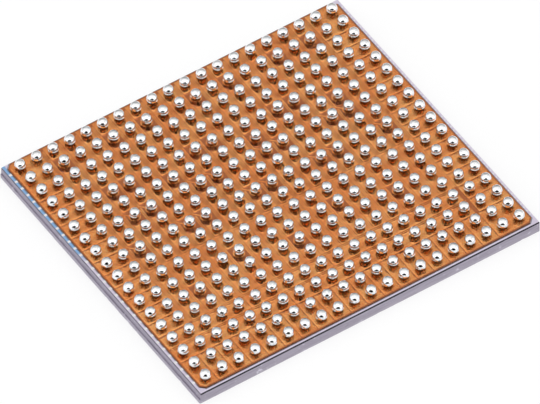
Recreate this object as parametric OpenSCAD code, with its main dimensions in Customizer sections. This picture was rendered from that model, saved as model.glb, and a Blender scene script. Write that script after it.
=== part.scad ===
// A wafer-level ball grid array chip, lying on its back with the solder balls up.
//
// From the back to the balls: a sawn silicon die, the circuit layers grown on it with their seal
// ring and aluminium pads, a base polyimide, the copper wiring that spreads the pads over the
// face, a cover polyimide that follows the copper, bump pads, and a full grid of solder balls.
// +X runs along the long side, +Y along the short side and +Z out of the ball side.

/* [Ball grid] */
// Distance between ball centres
ball_pitch = 0.4; // [0.4:0.01:0.5]
// Number of balls along the long side
balls_long = 20; // [14:1:20]
// Number of balls along the short side
balls_short = 18; // [18]
// Diameter of a solder ball
ball_diameter = 0.24; // [0.22:0.005:0.26]
// Diameter of the pad face that a ball sits on
pad_diameter = 0.15; // [0.12:0.005:0.2]
// How far the pads stand above the cover film
pad_height = 0.014; // [0.004:0.002:0.02]

/* [Die] */
// Thickness of the ground silicon
silicon_thickness = 0.28; // [0.15:0.01:0.5]
// Bare border between the film and the left side wall
border_left = 0.084; // [0.08:0.004:0.16]
// Bare border between the film and the right side wall
border_right = 0.09; // [0.08:0.005:0.15]
// Bare border between the film and the front side wall
border_front = 0.07; // [0.04:0.005:0.15]
// Bare border between the film and the back side wall
border_back = 0.033; // [0.03:0.003:0.15]
// Width of the shelf that the scribe groove leaves along the top edge
groove_width = 0.01; // [0.004:0.001:0.014]
// Depth of the scribe groove into the silicon
groove_depth = 0.02; // [0.01:0.005:0.04]
// How far the second saw cut stands proud on the left side
ledge_width = 0.024; // [0.01:0.002:0.04]
// Height of the ledge above the back of the die
ledge_height = 0.11; // [0.03:0.01:0.12]

/* [Circuit layers] */
// Thickness of the circuit layers on the silicon
circuit_thickness = 0.009; // [0.006:0.001:0.015]
// Width of the metal seal ring around the circuit
seal_ring_width = 0.008; // [0.004:0.001:0.01]
// Gap between the film edge and the seal ring
seal_ring_gap = 0.003; // [0.002:0.001:0.004]
// Thickness of the aluminium pads
pad_metal = 0.003; // [0.001:0.001:0.004]

/* [Films] */
// How far the films reach past the outer ball centres
film_margin = 0.218; // [0.2:0.002:0.24]
// Length of the cut across each film corner
film_corner = 0.1; // [0.04:0.01:0.14]
// Thickness of the base polyimide
base_film = 0.008; // [0.005:0.001:0.012]
// Thickness of the cover polyimide over the copper
cover_film = 0.01; // [0.006:0.001:0.015]
// How far the cover stands up where copper lies under it
relief = 0.006; // [0.002:0.001:0.006]

/* [Copper wiring] */
// Thickness of the copper
copper_thickness = 0.006; // [0.005:0.001:0.01]
// Width of a signal line or guard line
line_width = 0.024; // [0.012:0.002:0.026]
// Gap between neighbouring copper
line_gap = 0.018; // [0.012:0.002:0.022]
// Width of the bus across the face
bus_width = 0.05; // [0.02:0.01:0.05]
// Diameter of the round copper landing under a signal ball
landing_diameter = 0.25; // [0.22:0.01:0.25]
// Diameter of the plug from the copper to a pad of the die
via_diameter = 0.05; // [0.03:0.01:0.05]

/* [Edge marks] */
// Side of a metal mark in the left bare border
mark_size = 0.06; // [0.03:0.002:0.06]
// Distance between the marks along the left border
mark_pitch = 0.217; // [0.1:0.001:0.4]
// Side of a mark in the right border
fine_mark_size = 0.034; // [0.02:0.002:0.05]
// Distance between the marks along the right border
fine_mark_pitch = 0.11; // [0.08:0.002:0.2]
// Thickness of the marks
mark_thickness = 0.002; // [0.001:0.001:0.004]

/* [Hidden] */
// Levels above the back of the die.
z_circuit = silicon_thickness;
z_base = z_circuit + circuit_thickness;
z_copper = z_base + base_film;
z_copper_top = z_copper + copper_thickness;
z_film = z_copper_top + cover_film;
z_field = z_film - relief;
z_ball = z_film + pad_height;
// The opening in the cover film is this much narrower than the pad all round.
pad_lap = 0.012;
opening_radius = pad_diameter / 2 - pad_lap;
ball_radius = ball_diameter / 2;
// The ball is a sphere cut off where it is as wide as its pad.
ball_centre = sqrt(ball_radius * ball_radius - pad_diameter * pad_diameter / 4);

// Plan sizes, with the origin under the middle of the die's outline.
film_long = (balls_long - 1) * ball_pitch + 2 * film_margin;
film_short = (balls_short - 1) * ball_pitch + 2 * film_margin;
die_long = border_left + film_long + border_right;
die_short = border_front + film_short + border_back;
grid_x = (border_left + ledge_width - border_right) / 2;
grid_y = (border_front - border_back) / 2;
die_left = grid_x - film_long / 2 - border_left;
die_front = grid_y - film_short / 2 - border_front;

// The wiring is laid out in zones of the ball grid, counted from the left column and the back row.
finger_balls = 2;
first_column = finger_balls;
last_column = balls_long - 1 - finger_balls;
bus_row = 9.5;
first_line_row = 13.5;
second_line_row = 14.5;
finger_row = balls_short - finger_balls;
left_plane_rows = 3;
right_plane_rows = 2;
line_step = line_width + line_gap;
channel_width = 2 * line_width + 3 * line_gap;
strip_width = ball_pitch - channel_width;
copper_margin = 0.03;
copper_corner = 0.02;
copper_grow = 0.003;
jog = ball_pitch / 2 - line_step / 2;
via_offset = 0.11;
line_via_diameter = 0.024;
line_pad_diameter = 0.034;
pad_rim = 0.008;
little = 0.001;
$fn = 48;

row_letters = "abcdefghjklmnprtuv";
function ball_row_name(row) = str("solder_balls_row_", row_letters[row]);
function pad_row_name(row) = str("bump_pads_row_", row_letters[row]);

// Places in the ball grid.
function column_x(column) = (column - (balls_long - 1) / 2) * ball_pitch;
function row_y(row) = ((balls_short - 1) / 2 - row) * ball_pitch;
function upper_signal_row(column) = 1 + (column * column + 3 * column) % 5;
function lower_signal_row(column) = 6 + (column * column + column) % 4;
function in_columns(column) = column >= first_column && column <= last_column;
function is_routed_signal(column, row) = in_columns(column)
    && (row == upper_signal_row(column) || row == lower_signal_row(column));
function is_lone_signal(column, row) = in_columns(column) && column % 3 == 0
    && row == 11 + column % 2;
function left_line_x(column) = column_x(column) - jog;
function right_line_x(column) = column_x(column) + jog;

// Which copper a ball lands on.
function on_signal(column, row) = is_routed_signal(column, row) || is_lone_signal(column, row);
function on_band(column, row) = column <= last_column && row > first_line_row && row < finger_row;
function on_column(column, row) = in_columns(column) && row < first_line_row && !on_signal(column, row);
function on_finger(column, row) = !on_signal(column, row) && !on_band(column, row)
    && !on_column(column, row);

// Everything that belongs to the ball grid is drawn about its middle.
module on_grid(height) {
    translate([grid_x, grid_y, height]) children();
}

module block(left, right, front, back) {
    translate([left, front]) square([right - left, back - front]);
}

module film_outline(inset = 0) {
    x = film_long / 2 - inset;
    y = film_short / 2 - inset;
    // Each corner is cut at 45 degrees, and an inset keeps that cut parallel.
    cut = film_corner - inset * (2 - sqrt(2));
    polygon([
        [-x + cut, -y], [x - cut, -y], [x, -y + cut], [x, y - cut],
        [x - cut, y], [-x + cut, y], [-x, y - cut], [-x, -y + cut]
    ]);
}

// A line of copper through a list of points, with mitred corners and square ends.
function sideways(from, to) = [from.y - to.y, to.x - from.x] / norm(to - from);
function side_at(points, i) =
    let (
        last = len(points) - 1,
        before = sideways(points[max(i, 1) - 1], points[max(i, 1)]),
        after = sideways(points[min(i, last - 1)], points[min(i, last - 1) + 1])
    )
    (before + after) / (1 + before * after);

module copper_line(points, width) {
    last = len(points) - 1;
    polygon([
        for (i = [0 : last]) points[i] + side_at(points, i) * width / 2,
        for (i = [last : -1 : 0]) points[i] - side_at(points, i) * width / 2
    ]);
}

// Sheets of copper have their corners cut at 45 degrees and stop short of the film's edge.
module cut_corners() {
    offset(delta = copper_corner, chamfer = true)
        offset(delta = -copper_corner)
        intersection() {
            children();
            film_outline(copper_margin);
        }
}

// Strips along the columns, broken where a signal ball needs its own landing.
module column_run(column, first_row, last_row, back, front) {
    if (last_row >= first_row)
        block(
            column_x(column) - strip_width / 2, column_x(column) + strip_width / 2,
            row_y(last_row) - front, row_y(first_row) + back
        );
}

module column_sheets() {
    side = (ball_pitch - line_gap) / 2;
    by_bus = ball_pitch / 2 - bus_width / 2 - line_gap;
    by_line = ball_pitch / 2 - line_width / 2 - line_gap;
    edge = film_margin;
    for (column = [first_column : last_column]) {
        upper = upper_signal_row(column);
        lower = lower_signal_row(column);
        column_run(column, 0, upper - 1, edge, side);
        column_run(column, upper + 1, lower - 1, side, side);
        column_run(column, lower + 1, floor(bus_row), side, by_bus);
        if (column % 3 == 0) {
            lone = 11 + column % 2;
            column_run(column, ceil(bus_row), lone - 1, by_bus, side);
            column_run(column, lone + 1, floor(first_line_row), side, by_line);
        } else {
            column_run(column, ceil(bus_row), floor(first_line_row), by_bus, by_line);
        }
    }
}

// Strips of two balls each that point in from the left, right and front edges.
module finger_sheets() {
    half = (ball_pitch - line_gap) / 2;
    left_end = column_x(first_column - 1) + ball_pitch / 2 - channel_width / 2;
    right_end = column_x(last_column + 1) - ball_pitch / 2 + channel_width / 2;
    outer_x = film_long / 2;
    outer_y = film_short / 2;
    block(-outer_x, left_end, row_y(left_plane_rows - 1) - half, outer_y);
    for (row = [left_plane_rows : floor(first_line_row)])
        block(-outer_x, left_end, row_y(row) - half, row_y(row) + half);
    block(right_end, outer_x, row_y(right_plane_rows - 1) - half, outer_y);
    for (row = [right_plane_rows : finger_row - 1])
        block(right_end, outer_x, row_y(row) - half, row_y(row) + half);
    for (column = [0 : last_column])
        block(
            column_x(column) - half, column_x(column) + half,
            -outer_y, row_y(finger_row) + half
        );
    block(column_x(last_column + 1) - half, outer_x, -outer_y, row_y(finger_row) + half);
}

// Two bands along the rows, each broken in a few places.
module band_run(row, first, last, back, front) {
    half = (ball_pitch - line_gap) / 2;
    start = first == 0 ? -film_long / 2 : column_x(first) - half;
    end = last == last_column
        ? column_x(last) + ball_pitch / 2 - channel_width / 2
        : column_x(last) + half;
    block(start, end, row_y(row) - front, row_y(row) + back);
}

module band_sheets() {
    half = (ball_pitch - line_gap) / 2;
    by_line = ball_pitch / 2 - line_width / 2 - line_gap;
    row = ceil(first_line_row);
    third = floor(balls_long / 3);
    band_run(row, 0, third - 2, by_line, by_line);
    band_run(row, third - 1, 2 * third - 3, by_line, by_line);
    band_run(row, 2 * third - 2, last_column, by_line, by_line);
    band_run(row + 1, 0, third, by_line, half);
    band_run(row + 1, third + 1, last_column, by_line, half);
}

// A round landing for each signal ball, with a line that runs between the strips to the back edge.
module signal_copper() {
    back = row_y(0) + film_margin - copper_margin - line_pad_diameter / 2;
    for (column = [first_column : last_column]) {
        upper = [column_x(column), row_y(upper_signal_row(column))];
        lower = [column_x(column), row_y(lower_signal_row(column))];
        right_end = [right_line_x(column), back];
        left_end = [left_line_x(column), back - 2 * line_pad_diameter];
        translate(upper) circle(d = landing_diameter, $fn = 12);
        translate(lower) circle(d = landing_diameter, $fn = 12);
        copper_line([upper, upper + [jog, jog], right_end], line_width);
        copper_line([lower, lower + [-jog, jog], left_end], line_width);
        translate(right_end) circle(d = line_pad_diameter, $fn = 8);
        translate(left_end) circle(d = line_pad_diameter, $fn = 8);
    }
    for (column = [first_column : last_column])
        for (row = [ceil(bus_row) : floor(first_line_row)])
            if (is_lone_signal(column, row))
                translate([column_x(column), row_y(row)])
                    circle(d = landing_diameter, $fn = 12);
}

// The bus across the face, and guard lines from it between the strips, where no signal line runs.
module bus_copper() {
    bus_y = row_y(bus_row);
    back = row_y(0) + film_margin / 2;
    front = row_y(first_line_row) + line_width / 2 + line_gap;
    left = left_line_x(first_column);
    right = right_line_x(last_column);
    block(left - line_step, right + line_step, bus_y - bus_width / 2, bus_y + bus_width / 2);
    for (column = [first_column : last_column]) {
        right_top = row_y(upper_signal_row(column)) + jog - 3 * line_gap;
        left_top = row_y(lower_signal_row(column)) + jog - 3 * line_gap;
        copper_line([[right_line_x(column), front], [right_line_x(column), right_top]], line_width);
        copper_line([[left_line_x(column), front], [left_line_x(column), left_top]], line_width);
    }
    copper_line([[left - line_step, front], [left - line_step, back]], line_width);
    copper_line([[right + line_step, front], [right + line_step, back]], line_width);
    copper_line([[left, row_y(first_line_row)], [right, row_y(first_line_row)]], line_width);
    copper_line(
        [[-film_long / 2 + 2 * copper_margin, row_y(second_line_row)], [right, row_y(second_line_row)]],
        line_width
    );
}

// One layer of copper drawn in the plane, as loops of straight edges.
module copper_plan(part) {
    if (part == "columns") cut_corners() column_sheets();
    if (part == "fingers") cut_corners() finger_sheets();
    if (part == "bands") cut_corners() band_sheets();
    if (part == "signals") offset(delta = 0) signal_copper();
    if (part == "bus") offset(delta = 0) bus_copper();
}

// Where the plug from each ball's copper meets the die, and how wide it is.
module at_plugs(part) {
    back = row_y(0) + film_margin - copper_margin - line_pad_diameter / 2;
    for (column = [0 : balls_long - 1])
        for (row = [0 : balls_short - 1]) {
            wanted = part == "all"
                || (part == "columns" && on_column(column, row))
                || (part == "fingers" && on_finger(column, row))
                || (part == "bands" && on_band(column, row))
                || (part == "signals" && on_signal(column, row));
            if (wanted && !is_routed_signal(column, row))
                translate([column_x(column), row_y(row) - (is_lone_signal(column, row) ? 0 : via_offset), 0])
                    children(0);
            if (wanted && is_routed_signal(column, row) && row == upper_signal_row(column))
                translate([right_line_x(column), back, 0]) children(1);
            if (wanted && is_routed_signal(column, row) && row == lower_signal_row(column))
                translate([left_line_x(column), back - 2 * line_pad_diameter, 0]) children(1);
        }
    if (part == "bus" || part == "all")
        for (x = [left_line_x(first_column), right_line_x(last_column)])
            translate([x, row_y(bus_row), 0]) children(1);
}

module plugs(part, height, rim = 0) {
    at_plugs(part) {
        cylinder(h = height, d = via_diameter + 2 * rim);
        cylinder(h = height, d = line_via_diameter + 2 * rim);
    }
}

// Silicon, with the scribe groove along the top edges and the ledge of the second saw cut.
module silicon_die() {
    color([0.62, 0.6, 0.66]) {
        translate([die_left, die_front, 0])
            cube([die_long, die_short, silicon_thickness - groove_depth]);
        translate([die_left + groove_width, die_front + groove_width, 0])
            cube([die_long - 2 * groove_width, die_short - 2 * groove_width, silicon_thickness]);
        translate([die_left - ledge_width, die_front, 0])
            cube([ledge_width + little, die_short, ledge_height]);
    }
}

module ring(outer, width, height) {
    difference() {
        linear_extrude(height) film_outline(-outer);
        translate([0, 0, -little]) linear_extrude(height + 2 * little) film_outline(width - outer);
    }
}

// Transistor and wiring layers on the silicon, with room for the seal ring and the pads.
module circuit_layers() {
    color([0.78, 0.74, 0.82])
        difference() {
            translate([die_left + groove_width, die_front + groove_width, z_circuit])
                cube([die_long - 2 * groove_width, die_short - 2 * groove_width, circuit_thickness]);
            on_grid(z_circuit + circuit_thickness / 3)
                ring(seal_ring_gap + seal_ring_width, seal_ring_width, circuit_thickness);
            on_grid(z_base - pad_metal) plugs("all", pad_metal + little, pad_rim);
        }
}

module seal_ring() {
    color([0.85, 0.85, 0.88])
        on_grid(z_circuit + circuit_thickness / 3)
        ring(seal_ring_gap + seal_ring_width, seal_ring_width, circuit_thickness * 2 / 3);
}

module die_pads() {
    color([0.82, 0.83, 0.85])
        on_grid(z_base - pad_metal)
        plugs("all", pad_metal, pad_rim);
}

// A row of square metal marks along one bare border.
module edge_marks(x, size, pitch) {
    count = floor((film_short - 2 * film_corner) / pitch);
    color([0.93, 0.92, 0.95])
        for (i = [0 : count - 1])
            translate([x - size / 2, (i - (count - 1) / 2) * pitch - size / 2, 0])
                cube([size, size, mark_thickness]);
}

module left_edge_marks() {
    on_grid(z_base)
        edge_marks(-film_long / 2 - border_left / 2, mark_size, mark_pitch);
}

module right_edge_marks() {
    on_grid(z_base)
        edge_marks(film_long / 2 + border_right / 2, fine_mark_size, fine_mark_pitch);
}

module base_polyimide() {
    color([0.72, 0.5, 0.3])
        difference() {
            on_grid(z_base) linear_extrude(base_film) film_outline();
            on_grid(z_base - little) plugs("all", base_film + 2 * little);
        }
}

// One part of the copper, with its plugs down through the base film.
module copper(part) {
    color([0.85, 0.5, 0.28]) {
        on_grid(z_copper) linear_extrude(copper_thickness) copper_plan(part);
        on_grid(z_base) plugs(part, base_film);
    }
}

module copper_fingers() {
    copper("fingers");
}

module copper_columns() {
    copper("columns");
}

module copper_bands() {
    copper("bands");
}

module copper_signal_lines() {
    copper("signals");
}

module copper_bus() {
    copper("bus");
}

COPPER = ["fingers", "columns", "bands", "signals", "bus"];

// The cover film: level between the copper, raised over it, and open at each ball.
module cover_polyimide() {
    color([0.8, 0.48, 0.25])
        difference() {
            union() {
                on_grid(z_copper) linear_extrude(z_field - z_copper) film_outline();
                for (part = COPPER)
                    on_grid(z_field)
                        linear_extrude(relief)
                        offset(delta = copper_grow)
                        copper_plan(part);
            }
            for (part = COPPER)
                on_grid(z_copper) linear_extrude(copper_thickness) copper_plan(part);
            for (column = [0 : balls_long - 1])
                for (row = [0 : balls_short - 1])
                    on_grid(z_copper_top)
                        translate([column_x(column), row_y(row), 0])
                        cylinder(h = cover_film + little, r = opening_radius);
        }
}

// A pad fills its opening in the cover film and laps over the film's face.
module bump_pad_row(row) {
    color([0.75, 0.72, 0.68])
        for (column = [0 : balls_long - 1])
            on_grid(z_copper_top)
                translate([column_x(column), row_y(row), 0]) {
                    cylinder(h = cover_film + pad_height, r = opening_radius);
                    translate([0, 0, cover_film]) cylinder(h = pad_height, d = pad_diameter);
                }
}

module solder_ball() {
    intersection() {
        translate([0, 0, ball_centre]) sphere(d = ball_diameter);
        cylinder(h = ball_diameter, d = ball_diameter + pad_rim);
    }
}

module solder_ball_row(row) {
    color([0.86, 0.87, 0.88])
        for (column = [0 : balls_long - 1])
            on_grid(z_ball)
                translate([column_x(column), row_y(row), 0])
                solder_ball();
}

silicon_die();
circuit_layers();
seal_ring();
die_pads();
left_edge_marks();
right_edge_marks();
base_polyimide();
copper_fingers();
copper_columns();
copper_bands();
copper_signal_lines();
copper_bus();
cover_polyimide();
for (row = [0 : balls_short - 1]) {
    bump_pad_row(row);
    solder_ball_row(row);
}
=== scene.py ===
"""A wafer-level ball grid array chip, lying on its back with the solder balls up.

The frame gives the die, its films, the copper and the balls at their real size. This script dresses
them: a sawn silicon die, a glossy amber film with softened relief, and reflowed solder balls.
"""

import math
import random

import bmesh
import bpy
from mathutils import Matrix, Vector


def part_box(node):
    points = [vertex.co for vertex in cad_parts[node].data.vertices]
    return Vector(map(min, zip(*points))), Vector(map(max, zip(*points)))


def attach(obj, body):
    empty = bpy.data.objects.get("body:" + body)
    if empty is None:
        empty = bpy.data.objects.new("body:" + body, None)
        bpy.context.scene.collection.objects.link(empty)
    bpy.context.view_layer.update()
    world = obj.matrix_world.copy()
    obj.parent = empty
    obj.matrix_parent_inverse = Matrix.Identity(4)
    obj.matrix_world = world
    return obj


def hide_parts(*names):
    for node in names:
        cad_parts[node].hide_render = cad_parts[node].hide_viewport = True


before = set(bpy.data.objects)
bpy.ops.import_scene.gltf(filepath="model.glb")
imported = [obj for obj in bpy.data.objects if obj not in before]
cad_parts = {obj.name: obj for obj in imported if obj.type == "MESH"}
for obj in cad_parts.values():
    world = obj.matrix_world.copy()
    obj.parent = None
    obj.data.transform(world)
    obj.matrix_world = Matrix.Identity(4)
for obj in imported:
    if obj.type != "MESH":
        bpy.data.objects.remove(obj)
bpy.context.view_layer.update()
BODY = "root"
MICRON = 1e-6

# ---------------------------------------------------------------- sizes, all worked out from the frame

BALL_ROWS = sorted(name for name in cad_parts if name.startswith("solder_balls_row_"))
PAD_ROWS = sorted(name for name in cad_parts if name.startswith("bump_pads_row_"))
BALLS_IN_ROW = 20

die_low, die_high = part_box("silicon_die")
circuit_low, circuit_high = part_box("circuit_layers")
film_low, film_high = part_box("cover_polyimide")
back_row_low, back_row_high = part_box(BALL_ROWS[0])

BALL_DIAMETER = back_row_high.y - back_row_low.y
BALL_RADIUS = BALL_DIAMETER / 2
PITCH = (back_row_high.x - back_row_low.x - BALL_DIAMETER) / (BALLS_IN_ROW - 1)
GRID_CENTRE = (film_low + film_high) / 2
BALL_SEAT = back_row_low.z
BALL_CENTRE = back_row_high.z - BALL_RADIUS


def levels(name):
    """The heights at which a stepped CAD node has flat faces, from the lowest up."""
    return sorted({round(v.co.z, 7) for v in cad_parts[name].data.vertices})


BACK, LEDGE_TOP, GROOVE_FLOOR, FACE = levels("silicon_die")
FIELD_TOP, FILM_TOP = levels("cover_polyimide")[-2:]
RELIEF = FILM_TOP - FIELD_TOP
SLOPE_WIDTH = 10 * MICRON
SLOPE_DROP = 3 * MICRON
CORNER_CUT = 100 * MICRON
FLOOR_GAP = 1 * MICRON
GROOVE_WIDTH = die_high.x - circuit_high.x
LEDGE_WIDTH = circuit_low.x - GROOVE_WIDTH - die_low.x


# ---------------------------------------------------------------- shader maths

class Value:
    """A number in a material's node tree. Sums and products of values add Math nodes."""

    def __init__(self, tree, socket):
        self.tree = tree
        self.socket = socket

    def math(self, operation, other=None, third=None):
        return self.tree.math(operation, self, other, third)

    def __add__(self, other):
        return self.math("ADD", other)

    def __radd__(self, other):
        return self.math("ADD", other)

    def __sub__(self, other):
        return self.math("SUBTRACT", other)

    def __rsub__(self, other):
        return self.tree.math("SUBTRACT", other, self)

    def __mul__(self, other):
        return self.math("MULTIPLY", other)

    def __rmul__(self, other):
        return self.math("MULTIPLY", other)

    def __truediv__(self, other):
        return self.math("DIVIDE", other)

    def __abs__(self):
        return self.math("ABSOLUTE")

    def floor(self):
        return self.math("FLOOR")

    def smallest(self, other):
        return self.math("MINIMUM", other)

    def largest(self, other):
        return self.math("MAXIMUM", other)

    def ramp(self, start, end, low=0.0, high=1.0):
        """Goes smoothly from low to high as this value goes from start to end."""
        return self.tree.node(
            "ShaderNodeMapRange",
            {"interpolation_type": "SMOOTHSTEP"},
            {"Value": self, "From Min": start, "From Max": end, "To Min": low, "To Max": high},
        )


class Finish:
    """A material's or the room's node tree, with short ways to add what it needs."""

    def __init__(self, owner, place="Object"):
        self.owner = owner
        owner.use_nodes = True
        self.nodes = owner.node_tree.nodes
        self.links = owner.node_tree.links
        self.place = self.node("ShaderNodeTexCoord", {}, {}, place)

    def plug(self, socket, value):
        if isinstance(value, Value):
            self.links.new(value.socket, socket)
        elif isinstance(value, tuple) and socket.type == "RGBA":
            socket.default_value = (*value, 1.0)
        else:
            socket.default_value = value

    def node(self, kind, settings, values, output=0):
        """Adds a node. Its settings come first, because some of them change its sockets."""
        made = self.nodes.new(kind)
        for name, setting in settings.items():
            setattr(made, name, setting)
        for name, value in values.items():
            self.plug(made.inputs[name], value)
        return Value(self, made.outputs[output])

    def math(self, operation, first, second=None, third=None):
        values = [v for v in (first, second, third) if v is not None]
        return self.node("ShaderNodeMath", {"operation": operation}, dict(enumerate(values)))

    def axes(self, place=None):
        """The x, y and z of a place, each as a value."""
        split = self.node("ShaderNodeSeparateXYZ", {}, {"Vector": place or self.place})
        outputs = split.socket.node.outputs
        return [Value(self, outputs[axis]) for axis in "XYZ"]

    def join(self, x, y, z):
        return self.node("ShaderNodeCombineXYZ", {}, {"X": x, "Y": y, "Z": z})

    def scaled(self, factors):
        values = {0: self.place, 1: factors}
        return self.node("ShaderNodeVectorMath", {"operation": "MULTIPLY"}, values)

    def along(self, direction):
        """How far the place lies in a direction."""
        values = {0: self.place, 1: tuple(direction)}
        return self.node("ShaderNodeVectorMath", {"operation": "DOT_PRODUCT"}, values, "Value")

    def noise(self, size, detail=2.0, roughness=0.5, place=None):
        """Soft noise whose spots are about size metres across, from 0 to 1."""
        values = {"Vector": place or self.place, "Scale": 1 / size, "Detail": detail}
        return self.node("ShaderNodeTexNoise", {}, {**values, "Roughness": roughness})

    def cells(self, size, feature="F1", place=None):
        values = {"Vector": place or self.place, "Scale": 1 / size}
        return self.node("ShaderNodeTexVoronoi", {"feature": feature}, values)

    def mix(self, factor, first, second):
        """Goes from the first colour to the second as factor goes from 0 to 1."""
        made = self.nodes.new("ShaderNodeMix")
        made.data_type = "RGBA"
        colours = [socket for socket in made.inputs if socket.type == "RGBA"]
        self.plug(made.inputs[0], factor)
        self.plug(colours[0], first)
        self.plug(colours[1], second)
        return Value(self, [socket for socket in made.outputs if socket.type == "RGBA"][0])

    def bump(self, height, depth, under=None):
        """A bump whose height of 1 stands depth metres out of the surface."""
        values = {"Height": height, "Distance": depth, "Strength": 1.0}
        if under is not None:
            values["Normal"] = under
        return self.node("ShaderNodeBump", {}, values)

    def set(self, shader, **sockets):
        """Fills a shader's sockets. An underscore in a name stands for a space."""
        for name, value in sockets.items():
            self.plug(self.nodes[shader].inputs[name.replace("_", " ")], value)
        return self.owner


def new_finish(name):
    return Finish(bpy.data.materials.new(name))


# ---------------------------------------------------------------- finishes

def solder_finish():
    f = new_finish("reflowed_solder")
    grain = f.noise(30 * MICRON, 3.0, 0.6)
    dimples = f.cells(60 * MICRON, "SMOOTH_F1")
    waves = f.noise(140 * MICRON, 1.0)
    normal = f.bump(grain, 1.2 * MICRON)
    normal = f.bump(dimples, 3 * MICRON, normal)
    normal = f.bump(waves, 7 * MICRON, normal)
    stain = f.noise(60 * MICRON, 3.0).ramp(0.45, 0.75)
    return f.set(
        "Principled BSDF",
        Base_Color=f.mix(stain, (0.92, 0.92, 0.93), (0.76, 0.76, 0.78)),
        Metallic=1.0,
        Roughness=grain.ramp(0.3, 0.8, 0.08, 0.2),
        Normal=normal,
    )


def film_finish():
    """Amber film: mirror-like over copper, duller and darker where no copper lies under it."""
    f = new_finish("amber_film")
    x, y, z = f.axes()
    across = (x - GRID_CENTRE.x) / PITCH
    along = (y - GRID_CENTRE.y) / PITCH
    wander = f.noise(0.3e-3, 2.0) * 0.8 - 0.4
    left = (across + wander).ramp(-8.2, -7.8, 1.0, 0.0)
    right = (across + wander).ramp(7.8, 8.2)
    front = (along + wander).ramp(-7.2, -6.8, 1.0, 0.0)
    edge_zone = left.largest(right).largest(front)

    raised = z.ramp(FIELD_TOP + 0.1 * RELIEF, FILM_TOP - 0.3 * RELIEF)
    speckle = f.noise(32 * MICRON, 3.0, 0.7)
    patches = f.noise(0.45e-3, 2.0)
    pale = f.mix(speckle.ramp(0.38, 0.65), (1.0, 0.34, 0.075), (1.0, 0.49, 0.16))
    deep = f.mix(speckle.ramp(0.36, 0.62), (0.85, 0.22, 0.04), (1.0, 0.36, 0.085))
    over_copper = f.mix(patches.ramp(0.35, 0.65), pale, deep)
    bare = f.mix(speckle, (0.42, 0.1, 0.022), (0.66, 0.2, 0.05))

    grain = f.noise(40 * MICRON, 3.0, 0.6)
    lumps = f.noise(0.11e-3, 2.0)
    normal = f.bump(lumps, 0.7 * MICRON)
    normal = f.bump(grain * (edge_zone * 0.95 + 0.05), 9 * MICRON, normal)
    dull = f.noise(0.35e-3, 2.0).ramp(0.4, 0.7, 0.04, 0.09)

    # Painted shade: the cut outer side of the film, the steep sides of the relief and the front rim are
    # painted darker. The cut side is also rougher and has no coat.
    cut_side_shade = z.ramp(FIELD_TOP - 2 * MICRON, FIELD_TOP - 0.3 * MICRON, 1.0, 0.0)
    low_side = z.ramp(FIELD_TOP, FIELD_TOP + 0.3 * MICRON)
    steep_side_shade = low_side * z.ramp(FILM_TOP - SLOPE_DROP - 0.4 * MICRON, FILM_TOP - SLOPE_DROP, 1.0, 0.0)
    front_rim_shade = (y - film_low.y).ramp(30 * MICRON, 90 * MICRON, 0.3, 0.0)
    colour = f.mix(raised, bare, over_copper)
    colour = f.mix(steep_side_shade, colour, (0.16, 0.05, 0.015))
    colour = f.mix(front_rim_shade, colour, (0.3, 0.12, 0.05))
    return f.set(
        "Principled BSDF",
        Base_Color=f.mix(cut_side_shade, colour, (0.3, 0.12, 0.06)),
        Metallic=0.95,
        Roughness=dull + edge_zone * 0.12 + cut_side_shade * 0.4,
        Coat_Weight=0.6 - cut_side_shade * 0.6,
        Coat_IOR=1.6,
        Coat_Roughness=0.04,
        Normal=normal,
    )


def silicon_finish():
    """Sawn walls with fine level streaks from the blade, painted shade in the groove under the face, and
    walls a little paler towards the back.
    """
    f = new_finish("sawn_silicon")
    x, y, z = f.axes()
    streaks = f.noise(0.5e-3, 5.0, 0.6, f.scaled((1.0, 1.0, 40.0)))
    bands = f.noise(3e-3, 2.0, 0.5, f.scaled((1.0, 1.0, 60.0)))
    blots = f.noise(0.12e-3, 3.0)
    base = f.mix(streaks.ramp(0.3, 0.7), (0.31, 0.28, 0.35), (0.48, 0.44, 0.53))
    base = f.mix(blots.ramp(0.62, 0.75), base, (0.66, 0.63, 0.72))
    # The walls turn a little paler towards the back.
    paler_towards_back = z.ramp(0.0, LEDGE_TOP, 0.1, 0.0)
    off_left = x.ramp(circuit_low.x - 2 * MICRON, circuit_low.x + 2 * MICRON, 0.15, 1.0)
    # Painted shade: the groove and the top of the walls are painted near-black, much less on the left
    # side.
    groove_shade = z.ramp(GROOVE_FLOOR - 20 * MICRON, GROOVE_FLOOR - 13 * MICRON) * off_left
    normal = f.bump(bands, 4 * MICRON)
    normal = f.bump(streaks, 4 * MICRON, normal)
    return f.set(
        "Principled BSDF",
        Base_Color=f.mix(groove_shade, f.mix(paler_towards_back, base, (1, 1, 1)), (0.02, 0.018, 0.03)),
        Metallic=0.6,
        Roughness=streaks.ramp(0.2, 0.8, 0.35, 0.55) + groove_shade * 0.3,
        Normal=normal,
    )


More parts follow.
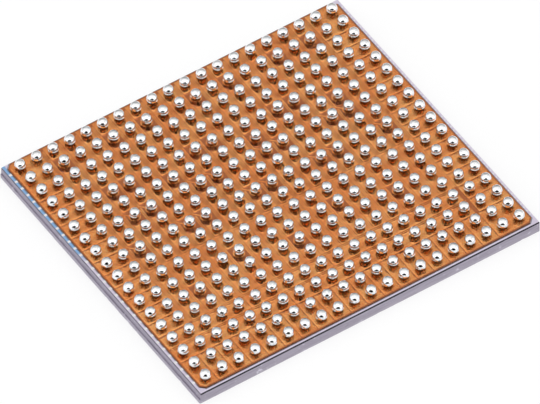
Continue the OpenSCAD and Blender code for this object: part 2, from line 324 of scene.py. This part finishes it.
def circuit_finish():
    """The bare border: pinkish lavender, with a painted sky-blue reflection on the back part of the left
    side.
    """
    f = new_finish("circuit_face")
    x, y, z = f.axes()
    speckle = f.noise(40 * MICRON, 2.0)
    past_side = abs(x - GRID_CENTRE.x) - (film_high.x - film_low.x) / 2
    past_end = abs(y - GRID_CENTRE.y) - (film_high.y - film_low.y) / 2
    past_corner = (past_side + past_end + CORNER_CUT) / math.sqrt(2)
    past_film = past_side.largest(past_end).largest(past_corner)
    in_shade = past_film.ramp(15 * MICRON, 30 * MICRON, 1.0, 0.0)
    on_left = x.ramp(film_low.x - 20 * MICRON, film_low.x, 1.0, 0.0)
    at_back = y.ramp(GRID_CENTRE.y + 1.2 * PITCH, GRID_CENTRE.y + 2.2 * PITCH)
    lavender = f.mix(speckle, (0.74, 0.66, 0.83), (0.88, 0.81, 0.95))
    # Painted reflection: the back part of the left border is painted sky blue.
    colour = f.mix(on_left * at_back, lavender, (0.3, 0.53, 0.86))
    return f.set(
        "Principled BSDF",
        Base_Color=f.mix(in_shade, colour, (0.03, 0.02, 0.022)),
        Metallic=0.7,
        Roughness=speckle.ramp(0.3, 0.7, 0.3, 0.42),
        Coat_Weight=0.5,
        Coat_Roughness=0.08,
        Normal=f.bump(speckle, 0.5 * MICRON),
    )


def metal_finish(name, colour, roughness, metallic=1.0):
    f = new_finish(name)
    speckle = f.noise(20 * MICRON, 2.0)
    worn = tuple(0.85 * part for part in colour)
    return f.set(
        "Principled BSDF",
        Base_Color=f.mix(speckle, colour, worn),
        Metallic=metallic,
        Roughness=speckle.ramp(0.3, 0.7, roughness, roughness + 0.1),
        Normal=f.bump(speckle, 0.5 * MICRON),
    )


def floor_finish():
    """A pale floor that looks white from the camera and in the metal, with a soft shadow on it.

    From underneath it is clear, so that the back of the chip can be seen.
    """
    f = new_finish("floor")
    by_camera = f.node("ShaderNodeLightPath", {}, {}, "Is Camera Ray")
    by_gloss = f.node("ShaderNodeLightPath", {}, {}, "Is Glossy Ray")
    seen = by_camera.largest(by_gloss)
    from_below = f.node("ShaderNodeNewGeometry", {}, {}, "Backfacing")
    clear = f.node("ShaderNodeBsdfTransparent", {}, {})
    painted = Value(f, f.nodes["Principled BSDF"].outputs[0])
    both = f.node("ShaderNodeMixShader", {}, {0: from_below, 1: painted, 2: clear})
    f.set("Material Output", Surface=both)
    return f.set(
        "Principled BSDF",
        Base_Color=f.mix(seen, (0.95, 0.95, 0.95), (0.3, 0.3, 0.3)),
        Roughness=0.9,
        Specular_IOR_Level=0.0,
        Emission_Color=f.mix(seen, (0, 0, 0), (0.72, 0.72, 0.72)),
        Emission_Strength=1.0,
    )


# ---------------------------------------------------------------- modelling by hand

def deselect_all():
    if bpy.context.object is not None and bpy.context.object.mode != "OBJECT":
        bpy.ops.object.mode_set(mode="OBJECT")
    bpy.ops.object.select_all(action="DESELECT")


def edit(piece):
    """Opens one object in edit mode, with nothing selected."""
    deselect_all()
    piece.select_set(True)
    bpy.context.view_layer.objects.active = piece
    bpy.ops.object.mode_set(mode="EDIT")
    bpy.ops.mesh.select_all(action="DESELECT")


def choose(piece, kind, test):
    """In edit mode, selects the vertices, edges or faces that pass a test, and no others."""
    bpy.ops.mesh.select_all(action="DESELECT")
    bpy.ops.mesh.select_mode(type=kind)
    mesh = bmesh.from_edit_mesh(piece.data)
    mesh.normal_update()
    for part in {"VERT": mesh.verts, "EDGE": mesh.edges, "FACE": mesh.faces}[kind]:
        if test(part):
            part.select_set(True)
    mesh.select_flush_mode()
    bmesh.update_edit_mesh(piece.data)


def dress(piece, name, finish, slot, *nodes):
    """Names a finished piece, gives it its finish, and puts it on the chip's body."""
    deselect_all()
    piece.name = name
    piece.data.name = name
    piece.data.materials.clear()
    piece.data.materials.append(finish)
    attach(piece, BODY)
    for node in nodes:
        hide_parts(node)
    return piece


def coat_node(name, finish):
    """Gives a CAD node that keeps its own shape a finish."""
    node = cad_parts[name]
    node.data.materials.clear()
    node.data.materials.append(finish)


def merged_copy(name):
    """A copy of a CAD node with its loose triangles joined up."""
    mesh = bpy.data.meshes.new_from_object(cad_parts[name])
    copy = bpy.data.objects.new(name + "_copy", mesh)
    bpy.context.scene.collection.objects.link(copy)
    edit(copy)
    bpy.ops.mesh.select_all(action="SELECT")
    bpy.ops.mesh.remove_doubles(threshold=0.2 * MICRON)
    bpy.ops.mesh.customdata_custom_splitnormals_clear()
    return copy


# The sawn die

EDGE_CUTS = 200
CHIP_SHARE = 0.05
CHIP_DEPTH = 10 * MICRON
EDGE_RAGGEDNESS = 1.2 * MICRON


def die_body(finish):
    """The silicon: a face, the step of the scribe groove, sawn walls and the ledge on one side."""
    size = circuit_high - circuit_low
    middle = (circuit_high + circuit_low) / 2
    deselect_all()
    bpy.ops.mesh.primitive_plane_add(size=1)
    die = bpy.context.object
    edit(die)
    bpy.ops.mesh.select_all(action="SELECT")
    bpy.ops.transform.resize(value=(size.x, size.y, 1))
    bpy.ops.transform.translate(value=(middle.x, middle.y, FACE))
    bpy.ops.mesh.delete(type="ONLY_FACE")
    bpy.ops.mesh.select_mode(type="EDGE")
    bpy.ops.mesh.select_all(action="SELECT")
    bpy.ops.mesh.subdivide(number_cuts=EDGE_CUTS)
    bpy.ops.mesh.select_all(action="SELECT")
    bpy.ops.mesh.edge_face_add()
    bpy.ops.mesh.select_mode(type="FACE")
    bpy.ops.mesh.select_all(action="SELECT")

    # The face stays. A copy of its outline goes down the groove, out, and down the sawn wall.
    bpy.ops.mesh.extrude_region_move(TRANSFORM_OT_translate={"value": (0, 0, GROOVE_FLOOR - FACE)})
    bpy.ops.mesh.extrude_region_move()
    bpy.ops.transform.resize(
        value=(1 + 2 * GROOVE_WIDTH / size.x, 1 + 2 * GROOVE_WIDTH / size.y, 1),
        center_override=(middle.x, middle.y, GROOVE_FLOOR),
    )
    levels = [GROOVE_FLOOR + (LEDGE_TOP - GROOVE_FLOOR) * i / 3 for i in range(4)]
    levels += [LEDGE_TOP / 2, BACK]
    for above, below in zip(levels, levels[1:]):
        bpy.ops.mesh.extrude_region_move(TRANSFORM_OT_translate={"value": (0, 0, below - above)})
    bpy.ops.mesh.select_all(action="SELECT")
    bpy.ops.mesh.normals_make_consistent(inside=False)

    # The ledge of the second saw cut.
    left_wall = circuit_low.x - GROOVE_WIDTH
    choose(
        die, "FACE",
        lambda face: face.normal.x < -0.9 and face.calc_center_median().z < LEDGE_TOP
        and face.calc_center_median().x < left_wall + MICRON,
    )
    bpy.ops.mesh.extrude_region_move(TRANSFORM_OT_translate={"value": (-LEDGE_WIDTH, 0, 0)})

    chip_edges(die)
    bpy.ops.mesh.select_all(action="SELECT")
    bpy.ops.mesh.normals_make_consistent(inside=False)
    return dress(die, "die_body", finish, "silicon", "silicon_die")


def chip_edges(die):
    """Breaks small chips out of the sawn edges. The points only ever move into the silicon."""
    rng = random.Random(5)
    mesh = bmesh.from_edit_mesh(die.data)
    left_wall = circuit_low.x - GROOVE_WIDTH
    near = 0.5 * MICRON
    for v in mesh.verts:
        at_edge = min(abs(v.co.z - level) for level in (GROOVE_FLOOR, LEDGE_TOP, BACK)) < near
        inward = Vector((0, 0, 0))
        if abs(v.co.x - die_high.x) < near:
            inward.x = -1
        if abs(v.co.x - die_low.x) < near or (
            abs(v.co.x - left_wall) < near and v.co.z > LEDGE_TOP + near
        ):
            inward.x = 1
        if abs(v.co.y - die_high.y) < near:
            inward.y = -1
        if abs(v.co.y - die_low.y) < near:
            inward.y = 1
        if not at_edge or inward.length == 0:
            continue
        depth = rng.random() * EDGE_RAGGEDNESS
        if rng.random() < CHIP_SHARE:
            depth += rng.random() * CHIP_DEPTH
        v.co += inward * depth
    bmesh.update_edit_mesh(die.data)


# The solder balls

def solder_ball():
    """One ball: a sphere cut flat where it meets its pad."""
    deselect_all()
    bpy.ops.mesh.primitive_uv_sphere_add(segments=16, ring_count=9, radius=BALL_RADIUS)
    ball = bpy.context.object
    edit(ball)
    bpy.ops.mesh.select_all(action="SELECT")
    bpy.ops.transform.translate(value=(0, 0, BALL_CENTRE))
    bpy.ops.mesh.bisect(
        plane_co=(0, 0, BALL_SEAT), plane_no=(0, 0, 1), use_fill=True, clear_inner=True
    )
    bpy.ops.object.mode_set(mode="OBJECT")
    bpy.ops.object.shade_smooth_by_angle(angle=math.radians(28))
    return ball


def ball_rows(finish):
    """Every row of balls is a piece of its own, made of copies of the one ball."""
    first = solder_ball()
    left_x = back_row_low.x + BALL_RADIUS
    rng = random.Random(11)
    for name in BALL_ROWS:
        low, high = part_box(name)
        row_y = (low.y + high.y) / 2
        copies = []
        for i in range(BALLS_IN_ROW):
            ball = first.copy()
            ball.data = first.data.copy()
            turn = Matrix.Rotation(rng.random() * math.tau, 4, "Z")
            ball.data.transform(Matrix.Translation((left_x + i * PITCH, row_y, 0)) @ turn)
            bpy.context.scene.collection.objects.link(ball)
            copies.append(ball)
        deselect_all()
        for ball in copies:
            ball.select_set(True)
        bpy.context.view_layer.objects.active = copies[0]
        bpy.ops.object.join()
        dress(copies[0], name.replace("solder_balls", "balls"), finish, "solder", name)
    bpy.data.objects.remove(first)


# The amber film

def film(finish):
    """The cover film, with a slope round the sharp edges of its relief."""
    piece = merged_copy("cover_polyimide")
    near = 0.4 * MICRON
    choose(
        piece, "FACE",
        lambda face: face.normal.z > 0.9 and abs(face.calc_center_median().z - FILM_TOP) < near,
    )
    bpy.ops.mesh.inset(thickness=SLOPE_WIDTH, depth=0, use_boundary=True)
    mesh = bmesh.from_edit_mesh(piece.data)
    for v in mesh.verts:
        if abs(v.co.z - FILM_TOP) < near and not v.select:
            v.co.z -= SLOPE_DROP
    bmesh.update_edit_mesh(piece.data)
    deselect_all()
    bpy.context.view_layer.objects.active = piece
    piece.select_set(True)
    bpy.ops.object.shade_smooth_by_angle(angle=math.radians(50))
    return dress(piece, "amber_film", finish, "cover_film", "cover_polyimide")


def floor(finish):
    deselect_all()
    bpy.ops.mesh.primitive_plane_add(size=2.0, location=(0, 0, die_low.z - FLOOR_GAP))
    ground = bpy.context.object
    ground.name = "floor"
    ground.data.materials.append(finish)


# ---------------------------------------------------------------- light and camera

AZIMUTH = math.radians(-32.97)
ELEVATION = math.radians(48.46)
ROLL = math.radians(-0.88)
DISTANCE = 841.4 * PITCH
LENS_PER_SENSOR = 16639 / 540
AIM_RIGHT = 0.043 * PITCH
AIM_UP = -0.655 * PITCH
AIM_HEIGHT = FILM_TOP + 0.3125 * PITCH

DOOR_HALF_WIDTH = 0.72
DOOR_HEIGHT = 0.76
SEAM_TILT = math.radians(35)
ROOM_LIGHT = 1.15
LIGHT_SLANT = 0.75
FAR_DIMMING = 0.6


def room():
    """A white room, brighter on one side, where a dark doorway gives each ball its dark glint."""
    f = Finish(bpy.data.worlds.new("room"), "Generated")
    bpy.context.scene.world = f.owner
    towards = Vector((math.sin(AZIMUTH), -math.cos(AZIMUTH), 0))
    sideways = Vector((math.cos(AZIMUTH), math.sin(AZIMUTH), 0))
    upwards = Vector((0, 0, 1))
    facing = f.along(towards)
    aside = f.along(sideways)
    up = f.along(upwards)
    arch = (aside / DOOR_HALF_WIDTH) * (aside / DOOR_HALF_WIDTH) + (up / DOOR_HEIGHT) * (up / DOOR_HEIGHT)
    door = arch.ramp(0.65, 1.15, 1.0, 0.0) * facing.ramp(0.0, 0.3)
    seam = abs(f.along(math.sin(SEAM_TILT) * upwards - math.cos(SEAM_TILT) * sideways))
    dark = door.largest(seam.ramp(0.02, 0.07, 0.5, 0.0) * facing.ramp(-0.3, 0.1))
    far_foot = facing.ramp(-0.9, -0.5, FAR_DIMMING, 0.0) * up.ramp(0.15, 0.6, 1.0, 0.0)
    glow = (facing * LIGHT_SLANT + ROOM_LIGHT) * (1 - dark) * (1 - far_foot)
    wall = f.node("ShaderNodeCombineColor", {}, {"Red": glow, "Green": glow, "Blue": glow})
    by_camera = f.node("ShaderNodeLightPath", {}, {}, "Is Camera Ray")
    f.set("Background", Color=f.mix(by_camera, wall, (1, 1, 1)), Strength=1.0)


def camera():
    back = Vector(
        (
            math.sin(AZIMUTH) * math.cos(ELEVATION),
            -math.cos(AZIMUTH) * math.cos(ELEVATION),
            math.sin(ELEVATION),
        )
    )
    level = Vector((math.cos(AZIMUTH), math.sin(AZIMUTH), 0))
    upright = back.cross(level)
    right = math.cos(ROLL) * level + math.sin(ROLL) * upright
    up = back.cross(right)
    data = bpy.data.cameras.new("camera")
    data.sensor_width = 36
    data.lens = LENS_PER_SENSOR * data.sensor_width
    data.clip_start = 0.01
    data.clip_end = 10
    eye = bpy.data.objects.new("camera", data)
    bpy.context.scene.collection.objects.link(eye)
    aim = Vector((GRID_CENTRE.x, GRID_CENTRE.y, AIM_HEIGHT)) + AIM_RIGHT * right + AIM_UP * up
    place = aim + DISTANCE * back
    eye.matrix_world = Matrix.Translation(place) @ Matrix((right, up, back)).transposed().to_4x4()
    bpy.context.scene.camera = eye


# ---------------------------------------------------------------- the chip

camera()
room()
floor(floor_finish())
ball_rows(solder_finish())
film(film_finish())
die_body(silicon_finish())
coat_node("circuit_layers", circuit_finish())
coat_node("seal_ring", metal_finish("seal_metal", (0.8, 0.8, 0.84), 0.2))
coat_node("die_pads", metal_finish("pad_aluminium", (0.8, 0.8, 0.82), 0.3))
mark_finish = metal_finish("mark_metal", (0.97, 0.96, 0.98), 0.5, 0.2)
coat_node("left_edge_marks", mark_finish)
coat_node("right_edge_marks", mark_finish)
# The base film's near-black brown is painted shade along the lower edge of the film.
coat_node("base_polyimide", metal_finish("base_film", (0.05, 0.025, 0.015), 0.3))
copper_finish = metal_finish("plated_copper", (0.8, 0.42, 0.22), 0.25)
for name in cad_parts:
    if name.startswith("copper_"):
        coat_node(name, copper_finish)
pad_finish = metal_finish("pad_plating", (0.14, 0.08, 0.055), 0.3)
for name in PAD_ROWS:
    coat_node(name, pad_finish)

bpy.context.scene.view_settings.view_transform = "Standard"
